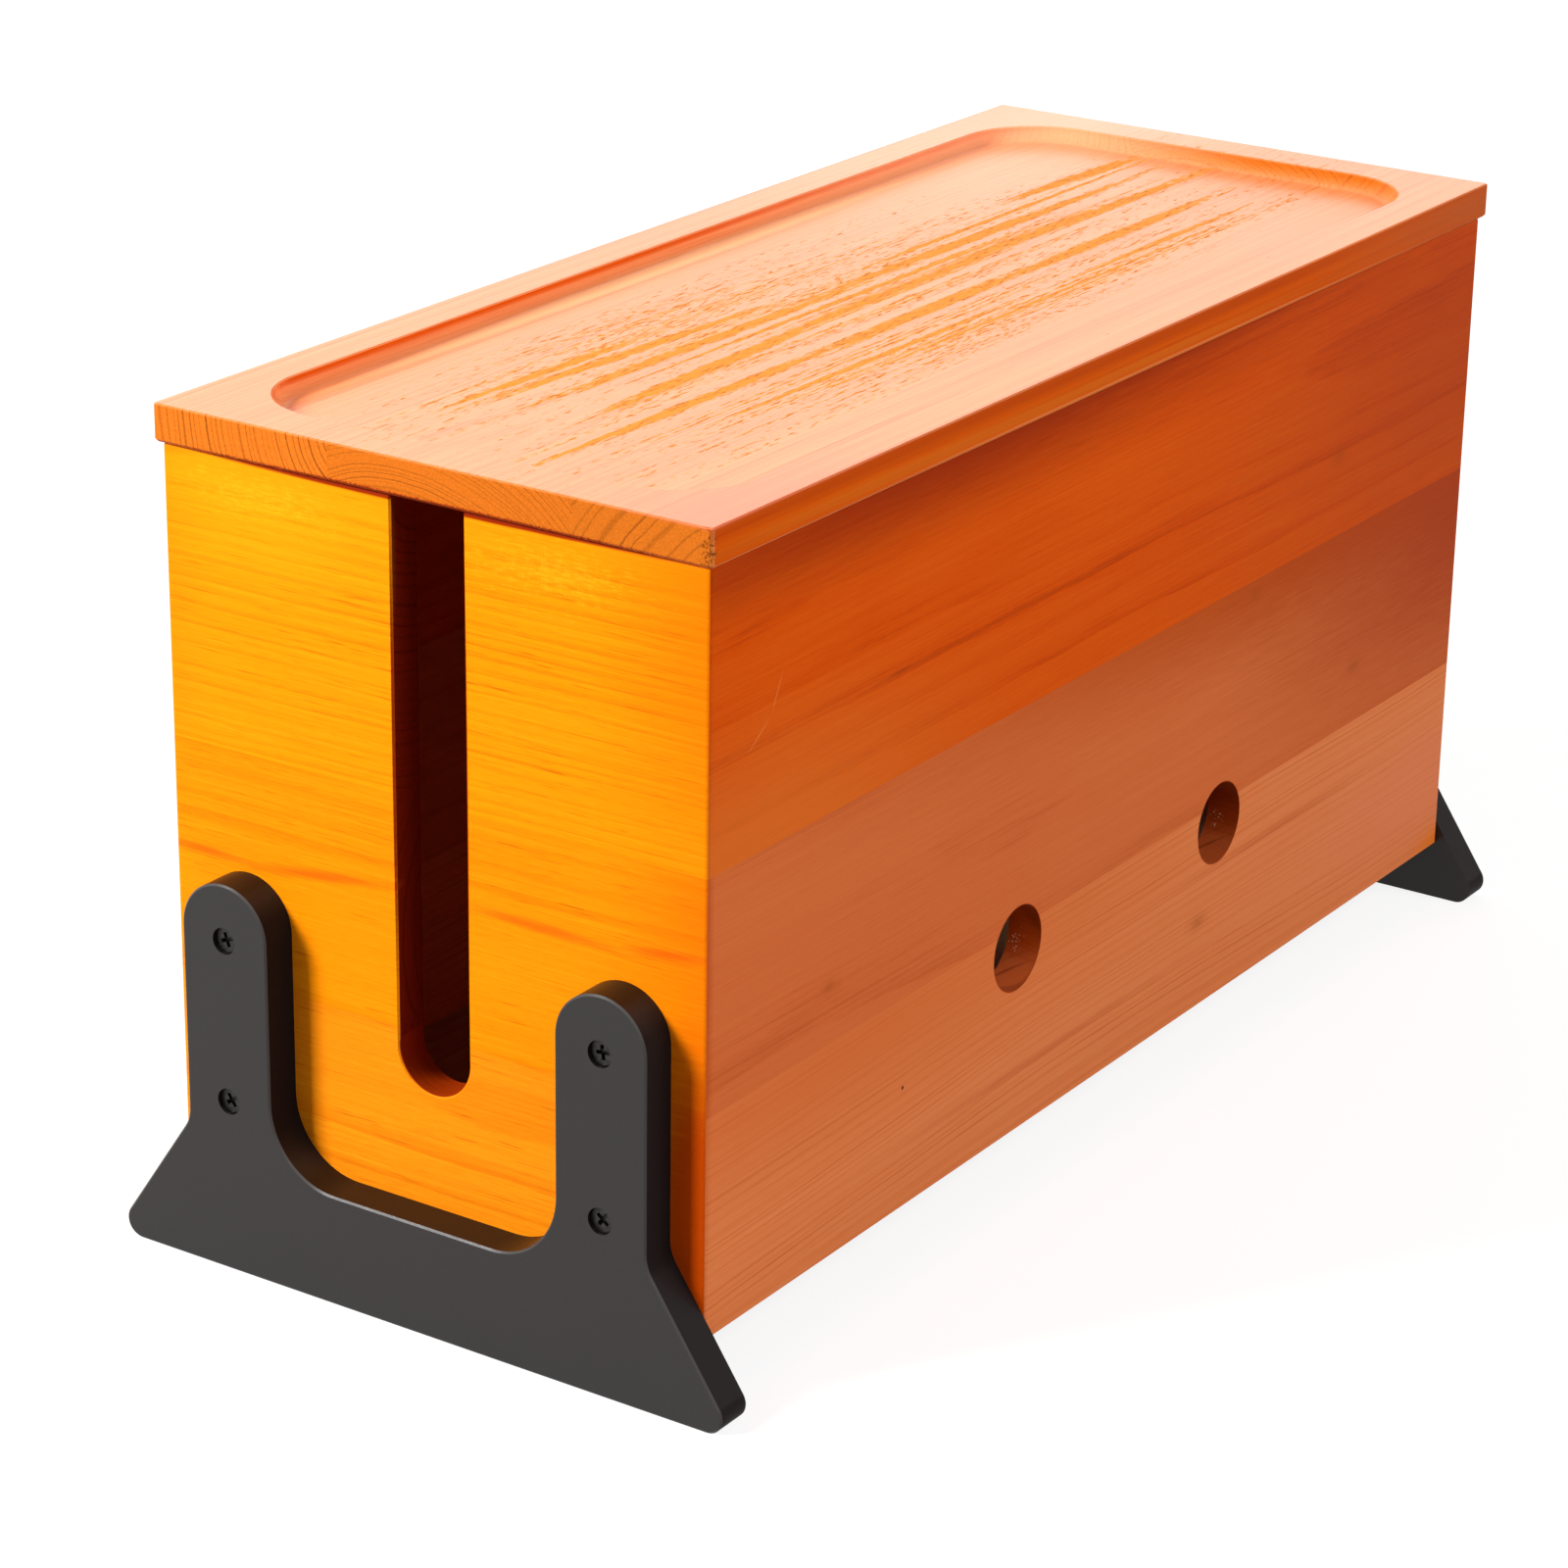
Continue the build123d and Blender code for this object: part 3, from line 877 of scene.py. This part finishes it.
@dataclass
class Lid:
    """The lid: three staves of pine with a routed tray, and two cleats below."""

    rear: PineBoard = replace(
        LID_PINE, pith=(0.0, 20.0, 231.0), ring=1.7, cut_end="#DC701E", end_contrast=0.75
    )
    middle: PineBoard = replace(
        LID_PINE, pith=(0.0, 5.0, 168.0), ring=1.4, cut_end="#CE6A1A", end_contrast=0.55
    )
    front: PineBoard = replace(LID_PINE, pith=(0.0, -122.0, 166.0), ring=3.6, cut_end="#C8681A")
    cleat: PineBoard = PineBoard(pith=(0.0, 0.0, 300.0), ring=2.4)
    streaks: tuple[Mark, ...] = (
        bare_streak(-146.0, -10.0, 24.0, 2.4, -3.5),
        bare_streak(-138.0, 30.0, 14.0, 2.4, -1.0),
        bare_streak(-20.0, 164.0, 14.0, 2.7, -1.0),
        bare_streak(-142.0, -20.0, -1.0, 2.9, 1.5),
        bare_streak(-70.0, 90.0, 1.5, 2.8),
        bare_streak(30.0, 182.0, 1.5, 3.0, -1.8),
        bare_streak(-178.0, -30.0, -15.2, 2.4, -0.6),
        bare_streak(-80.0, 70.0, -16.2, 2.9),
        bare_streak(20.0, 158.0, -17.0, 2.9, -0.4),
        bare_streak(112.0, 182.0, 26.4, 2.6, -3.0),
        bare_streak(-100.0, 120.0, 7.4, 1.4, -0.5),
        bare_streak(-150.0, -60.0, 31.0, 1.8, -1.5),
        bare_streak(-120.0, 30.0, -30.0, 1.3, -0.4),
        bare_streak(40.0, 150.0, -31.0, 1.4),
        bare_streak(10.0, 176.0, 20.6, 1.3, -0.6),
        bare_dashes(-165.0, 60.0, 42.0, 9.0, 0.4),
        bare_dashes(-165.0, 130.0, 30.0, 7.0, 0.41),
        bare_dashes(-178.0, 185.0, 19.0, 5.0, 0.42),
        bare_dashes(-178.0, 185.0, 7.0, 5.0, 0.42),
        bare_dashes(-170.0, 182.0, -7.0, 5.0, 0.41),
        bare_dashes(-178.0, 185.0, -22.0, 5.0, 0.42),
        bare_dashes(-165.0, 178.0, -36.0, 5.0, 0.45),
        bare_dashes(-170.0, 140.0, -44.0, 5.0, 0.41),
    )
    tones: tuple[Mark, ...] = (
        # the top is paler at its far end and redder at the near corner, and painted light lifts the rim's
        # shadow along the foot of the tray's rear cove
        Mark(
            (200.0, 60.0, LID_TOP - 1.0), (230.0, 80.0, 9.0), "#FDB48A", ragged=0.3, soft=1.0,
            strength=0.7,
        ),
        # painted light that lifts the rear rim's shadow at the foot of the tray's rear cove
        Mark((-12.0, 65.8, TRAY_FLOOR - 0.1), (188.0, 4.4, 2.6), "#FFBC86", strength=0.7),
        Mark((-200.0, LID_FRONT, LID_TOP + 0.4), (120.0, 50.0, 1.6), "#F07452", ragged=0.3, soft=1.0),
        # three small dents in its front border
        Mark((198.0, -62.0, LID_TOP), (0.9, 0.5, 2.0), "#B0561E", soft=0.5),
        Mark((87.0, -72.0, LID_TOP), (1.2, 0.5, 2.0), "#B0561E", soft=0.5),
        Mark((-7.0, -75.0, LID_TOP), (1.0, 0.5, 2.0), "#B0561E", soft=0.5),
        # painted shade of the gap below the lid, with frayed fibres, along the lower edge of its end, and
        # stain gathered along the front in two bands
        Mark(
            (LID_END, 0.0, EAVE - 0.1), (1.4, 99.0, 1.4), "#8A1004", weave=Weave.FIBRE, ragged=1.6,
            soft=0.4,
        ),
        Mark(
            (0.0, LID_FRONT, 226.4), (203.0, 2.0, 3.0), "#A83408", weave=Weave.BAND, ragged=2.0, soft=0.8,
            strength=0.4,
        ),
        Mark(
            (0.0, LID_FRONT, 221.0), (203.0, 2.0, 2.0), "#D67A22", weave=Weave.BAND, ragged=2.0, soft=0.8,
            strength=0.35,
        ),
        # the front is redder at its far end, has a painted highlight along its lower edge, and is chipped
        # at the near corner
        Mark((210.0, LID_FRONT, 223.0), (140.0, 2.0, 12.0), "#BE5C2C", ragged=0.3, soft=1.0),
        # painted highlight along the lid front's lower edge
        Mark((0.0, LID_FRONT, EAVE + 0.6), (203.0, 1.4, 1.2), "#E88240"),
        Mark(
            (LID_END - 0.1, LID_FRONT + 0.4, 222.5), (1.8, 3.4, 7.0), "#7A3A10", ragged=6.0, cover=0.4,
            soft=0.4,
        ),
    )

    def build(self) -> int:
        """Give the staves and the cleats their boards.

        Returns:
            How many pieces were dressed.
        """
        boards = {
            f"lid_{place}_stave": replace(board, marks=(*self.tones, *self.streaks))
            for place, board in (("rear", self.rear), ("middle", self.middle), ("front", self.front))
        }
        boards |= {f"lid_{place}_cleat": self.cleat for place in ("front", "rear")}
        for name, board in boards.items():
            dress(name, board.material(name))
        return len(boards)


@dataclass(frozen=True)
class FacedPlywood:
    """Thin pine plywood, sanded and left bare: a pale face with long open pores, and dark glue lines.

    Lengths are in millimetres.
    """

    face: str = "#D2A672"
    pore: str = "#A8743E"
    pore_size: tuple[float, float] = (22.0, 0.9)
    glue: str = "#4A1E0A"
    ply: float = 1.25
    glue_edge: tuple[float, float] = (0.18, 0.05)
    roughness: float = 0.6

    def material(self) -> bpy.types.Material:
        """Build the plywood's material.

        Returns:
            A material made from Object coordinates.
        """
        material, tree = new_material("bare_sanded_plywood")
        here = add_node(tree, "ShaderNodeTexCoord")
        place = add_node(tree, "ShaderNodeMapping", {0: here.outputs["Object"], "Scale": IN_MM})
        along, across = self.pore_size
        size = (1 / along, 1 / across, 1 / across)
        long = add_node(tree, "ShaderNodeVectorMath", {0: place, 1: size}, operation="MULTIPLY")
        pores = add_node(tree, "ShaderNodeTexNoise", {"Vector": long, "Scale": 1.0, "Detail": 3.0})
        colour = add_node(tree, "ShaderNodeMixRGB", {0: pores, 1: linear(self.face), 2: linear(self.pore)})

        height = add_node(tree, "ShaderNodeSeparateXYZ", {0: place})
        plies = add_node(
            tree, "ShaderNodeMath", {0: height.outputs["Z"], 1: self.ply}, operation="PINGPONG"
        )
        outer, inner = self.glue_edge
        glue = add_node(tree, "ShaderNodeMapRange", {"Value": plies, 1: outer, 2: inner, 4: 0.7})
        colour = add_node(tree, "ShaderNodeMixRGB", {0: glue, 1: colour, 2: linear(self.glue)})
        shader = add_node(
            tree,
            "ShaderNodeBsdfPrincipled",
            {"Base Color": colour, "Roughness": self.roughness, "Specular IOR Level": 0.2},
        )
        add_node(tree, "ShaderNodeOutputMaterial", {"Surface": shader})
        return material


@dataclass(frozen=True)
class SatinBlackLacquer:
    """Black lacquer sprayed on routed board: a charcoal sheen over a very fine orange peel, with dust nibs.

    The upright routed sides drank the lacquer, so they stay dull, and a painted shade makes them
    look deep black. The bevel round the outer face carries a painted highlight, and the faces that
    look up are the darkest.

    Lengths are in millimetres. Nib is how far apart the nibs' cells are, nib_edge is where a nib
    ends and is full as shares of that, and nib_share is the share of the cells that hold one.
    """

    black: str = "#242120"
    # soaked is a painted shade on the upright sides, and edge a painted highlight on the bevel
    soaked: str = "#1A1413"
    edge: str = "#6E6864"
    edge_highlight_share: float = 0.22
    crown: str = "#0C0908"
    worn: str = "#4A4441"
    peel: float = 1.4
    peel_depth: float = 0.2
    cloud: float = 30.0
    nib: float = 9.0
    nib_edge: tuple[float, float] = (0.05, 0.02)
    nib_share: float = 0.12
    roughness: tuple[float, float] = (0.5, 0.66)
    coat: float = 0.5
    crown_coat: float = 0.46
    coat_roughness: float = 0.28

    def tinted(
        self,
        tree: bpy.types.NodeTree,
        here: bpy.types.Node,
        place: bpy.types.Node,
        dull: bpy.types.Node,
        crown: bpy.types.Node,
    ) -> bpy.types.Node:
        """Add the colour: black with paler nibs, a painted highlight on the bevels, painted shade on the
        sides, and darker crowns.

        Args:
            tree: The material's node tree.
            here: The Texture Coordinate node.
            place: The place on the box, in millimetres.
            dull: The routed sides.
            crown: The faces that look up.

        Returns:
            The colour.
        """
        nibs = add_node(tree, "ShaderNodeTexVoronoi", {"Vector": place, "Scale": 1 / self.nib})
        outer, inner = self.nib_edge
        speck = add_node(
            tree, "ShaderNodeMapRange", {"Value": nibs.outputs["Distance"], 1: outer, 2: inner, 4: 0.5}
        )
        pick = add_node(tree, "ShaderNodeSeparateXYZ", {0: nibs.outputs["Color"]})
        few = add_node(
            tree, "ShaderNodeMath", {0: pick.outputs["X"], 1: 1 - self.nib_share}, operation="GREATER_THAN"
        )
        speck = add_node(tree, "ShaderNodeMath", {0: speck, 1: few}, operation="MULTIPLY")
        # the slope between the outer face and its edges, which gets a painted highlight
        bevel = add_node(
            tree,
            "ShaderNodeMath",
            {0: facing(tree, here, "X", 0.45, 0.7), 1: facing(tree, here, "X", 0.9, 0.98)},
            operation="SUBTRACT",
            use_clamp=True,
        )
        painted_highlight = add_node(tree, "ShaderNodeMath", {0: bevel, 1: self.edge_highlight_share}, operation="MULTIPLY")
        colour = linear(self.black)
        for share, tone in (
            (speck, self.worn),
            (dull, self.soaked),
            (painted_highlight, self.edge),
            (crown, self.crown),
        ):
            colour = add_node(tree, "ShaderNodeMixRGB", {0: share, 1: colour, 2: linear(tone)})
        return colour

    def material(self) -> bpy.types.Material:
        """Build the lacquer's material.

        Returns:
            A material made from Object coordinates.
        """
        material, tree = new_material("satin_black_lacquer")
        here = add_node(tree, "ShaderNodeTexCoord")
        place = add_node(tree, "ShaderNodeMapping", {0: here.outputs["Object"], "Scale": IN_MM})
        peel = add_node(
            tree, "ShaderNodeTexNoise", {"Vector": place, "Scale": 1 / self.peel, "Detail": 2.0}
        )
        cloud = add_node(
            tree, "ShaderNodeTexNoise", {"Vector": place, "Scale": 1 / self.cloud, "Detail": 3.0}
        )
        least, most = self.roughness
        matt = add_node(tree, "ShaderNodeMapRange", {"Value": cloud, 1: 0.3, 2: 0.7, 3: least, 4: most})
        # the upright sides: dull, and painted darker as shade in tinted
        dull = facing(tree, here, "Y", 0.5)
        crown = facing(tree, here, "Z", 0.75)
        coat = add_node(tree, "ShaderNodeMapRange", {"Value": crown, 3: self.coat, 4: self.crown_coat})
        glossy = add_node(tree, "ShaderNodeMath", {0: 1.0, 1: dull}, operation="SUBTRACT")
        coat = add_node(tree, "ShaderNodeMath", {0: coat, 1: glossy}, operation="MULTIPLY")
        bump = add_node(
            tree,
            "ShaderNodeBump",
            {"Height": peel, "Strength": 0.12, "Distance": self.peel_depth / MM_PER_METRE},
        )
        shader = add_node(
            tree,
            "ShaderNodeBsdfPrincipled",
            {
                "Base Color": self.tinted(tree, here, place, dull, crown),
                "Roughness": matt,
                "Specular IOR Level": 0.05,
                "Coat Weight": coat,
                "Coat Roughness": self.coat_roughness,
                "Coat Normal": bump,
                "Normal": bump,
            },
        )
        add_node(tree, "ShaderNodeOutputMaterial", {"Surface": shader})
        return material


@dataclass(frozen=True)
class BlackOxideSteel:
    """Black oxide on steel: a dark grey metal with a fine, uneven grit. Lengths are in millimetres."""

    steel: str = "#3E3C3A"
    roughness: float = 0.42
    grit: float = 0.6
    grit_depth: float = 0.1

    def material(self) -> bpy.types.Material:
        """Build the steel's material.

        Returns:
            A material made from Object coordinates.
        """
        material, tree = new_material("black_oxide_steel")
        here = add_node(tree, "ShaderNodeTexCoord")
        place = add_node(tree, "ShaderNodeMapping", {0: here.outputs["Object"], "Scale": IN_MM})
        grit = add_node(
            tree, "ShaderNodeTexNoise", {"Vector": place, "Scale": 1 / self.grit, "Detail": 2.0}
        )
        dark = add_node(tree, "ShaderNodeMapRange", {"Value": grit, 1: 0.3, 2: 0.7, 3: 0.55, 4: 1.0})
        colour = add_node(
            tree, "ShaderNodeMixRGB", {0: 1.0, 1: linear(self.steel), 2: dark}, blend_type="MULTIPLY"
        )
        bump = add_node(
            tree,
            "ShaderNodeBump",
            {"Height": grit, "Strength": 0.3, "Distance": self.grit_depth / MM_PER_METRE},
        )
        shader = add_node(
            tree,
            "ShaderNodeBsdfPrincipled",
            {"Base Color": colour, "Metallic": 0.9, "Roughness": self.roughness, "Normal": bump},
        )
        add_node(tree, "ShaderNodeOutputMaterial", {"Surface": shader})
        return material


@dataclass
class Stand:
    """The bottom panel, the two black end plates that are the feet, and their eight screws."""

    panel: FacedPlywood = FacedPlywood()
    lacquer: SatinBlackLacquer = SatinBlackLacquer()
    steel: BlackOxideSteel = BlackOxideSteel()
    screws_per_foot: int = 4

    def build(self) -> int:
        """Give the panel, the feet and the screws their finishes.

        Returns:
            How many pieces were dressed.
        """
        steel = self.steel.material()
        lacquer = self.lacquer.material()
        finishes = {"bottom_panel": self.panel.material()}
        for foot in ("left_foot", "right_foot"):
            finishes[foot] = lacquer
            for number in range(1, self.screws_per_foot + 1):
                finishes[f"{foot}_screw_{number}"] = steel
        for name, material in finishes.items():
            dress(name, material)
        return len(finishes)


# ---------------------------------------------------------------- studio


@dataclass(frozen=True)
class Lamp:
    """A soft lamp. Its level is how bright it makes a white card that faces it, where 1 is white."""

    name: str
    at: tuple[float, float, float]
    size: tuple[float, float]
    level: float
    aim: tuple[float, float, float] = (0.0, 0.0, 0.11)

    def hang(self) -> None:
        """Put the lamp in the scene, turned towards its aim."""
        light = bpy.data.lights.new(self.name, "AREA")
        light.shape = "RECTANGLE"
        light.size, light.size_y = self.size
        way = Vector(self.aim) - Vector(self.at)

        # a white card that faces a lamp of P watts at a distance d shines at P / (pi d)^2
        light.energy = self.level * (math.pi * way.length) ** 2
        holder = bpy.data.objects.new(self.name, light)
        holder.location = self.at
        holder.rotation_euler = way.to_track_quat("-Z", "Y").to_euler()
        bpy.context.scene.collection.objects.link(holder)


@dataclass
class Studio:
    """A white floor that keeps a soft shadow, a white room to look at, and soft lamps."""

    floor_side: float = 12.0
    room_level: float = 0.2
    floor_glow: float = 0.8
    floor_tone: str = "#959595"
    lamps: tuple[Lamp, ...] = (
        Lamp("key_softbox", (-1.45, 0.98, 1.2), (0.6, 0.6), 1.46),
        Lamp("back_softbox", (1.75, 1.15, 0.95), (2.6, 1.3), 0.36),
        Lamp("front_softbox", (0.0, -1.75, 1.3), (1.6, 1.0), 0.65),
    )

    def seen(self, tree: bpy.types.NodeTree) -> bpy.types.Node:
        """Tell the rays that show the room to the camera, or through gloss and glass.

        Args:
            tree: The node tree of the world or the floor.

        Returns:
            A node that gives 1 for those rays and 0 for the rest.
        """
        path = add_node(tree, "ShaderNodeLightPath")
        shown = path.outputs["Is Camera Ray"]
        for ray in ("Is Glossy Ray", "Is Transmission Ray"):
            shown = add_node(tree, "ShaderNodeMath", {0: shown, 1: path.outputs[ray]}, operation="MAXIMUM")
        return shown

    def build_world(self) -> None:
        """Light the room evenly from all round, and show it white."""
        world = bpy.data.worlds.new("white_room")
        bpy.context.scene.world = world
        world.use_nodes = True
        tree = world.node_tree
        tree.nodes.clear()
        level = add_node(tree, "ShaderNodeMapRange", {"Value": self.seen(tree), 3: self.room_level, 4: 1.0})
        glow = add_node(tree, "ShaderNodeBackground", {"Color": linear(WHITE), "Strength": level})
        add_node(tree, "ShaderNodeOutputWorld", {"Surface": glow})

    def build_floor(self) -> None:
        """Lay the floor at the height of the table."""
        bpy.ops.mesh.primitive_plane_add(size=self.floor_side)
        floor = bpy.context.object
        floor.name = "studio_floor"
        material, tree = new_material("matt_white_paper")
        paper = add_node(tree, "ShaderNodeBsdfDiffuse", {"Color": linear(self.floor_tone)})
        strength = add_node(
            tree, "ShaderNodeMath", {0: self.seen(tree), 1: self.floor_glow}, operation="MULTIPLY"
        )
        glow = add_node(tree, "ShaderNodeEmission", {"Color": linear(WHITE), "Strength": strength})
        both = add_node(tree, "ShaderNodeAddShader", {0: paper, 1: glow})
        add_node(tree, "ShaderNodeOutputMaterial", {"Surface": both})
        floor.data.materials.append(material)

    def build(self) -> None:
        """Build the floor, the room and the lamps."""
        self.build_floor()
        self.build_world()
        for lamp in self.lamps:
            lamp.hang()


@dataclass
class Viewpoint:
    """The camera: a long lens, a little above the box and off its near corner."""

    at: tuple[float, float, float] = (-1.0325, -0.6543, 0.5605)
    aim: tuple[float, float, float] = (0.0, 0.02886, 0.07566)
    roll: float = 0.863
    lens: float = 106.78
    sensor: float = 36.0

    def build(self) -> None:
        """Make the camera and look through it."""
        camera = bpy.data.cameras.new("camera")
        camera.lens = self.lens
        camera.sensor_width = self.sensor
        holder = bpy.data.objects.new("camera", camera)
        way = Vector(self.aim) - Vector(self.at)
        turn = way.to_track_quat("-Z", "Y").to_matrix()
        holder.rotation_euler = (turn @ Euler((0.0, 0.0, math.radians(self.roll))).to_matrix()).to_euler()
        holder.location = self.at
        bpy.context.scene.collection.objects.link(holder)
        bpy.context.scene.camera = holder


def main() -> None:
    """Build the box's looks piece by piece, then the studio round it."""
    logging.basicConfig(level=logging.INFO, format="%(name)s: %(message)s")
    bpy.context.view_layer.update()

    log.info("carcass: %d staves", Carcass().build())
    log.info("lid: %d pieces", Lid().build())
    log.info("stand: %d pieces", Stand().build())

    Studio().build()
    Viewpoint().build()
    bpy.context.scene.view_settings.view_transform = "Standard"


if __name__ == "__main__":
    main()
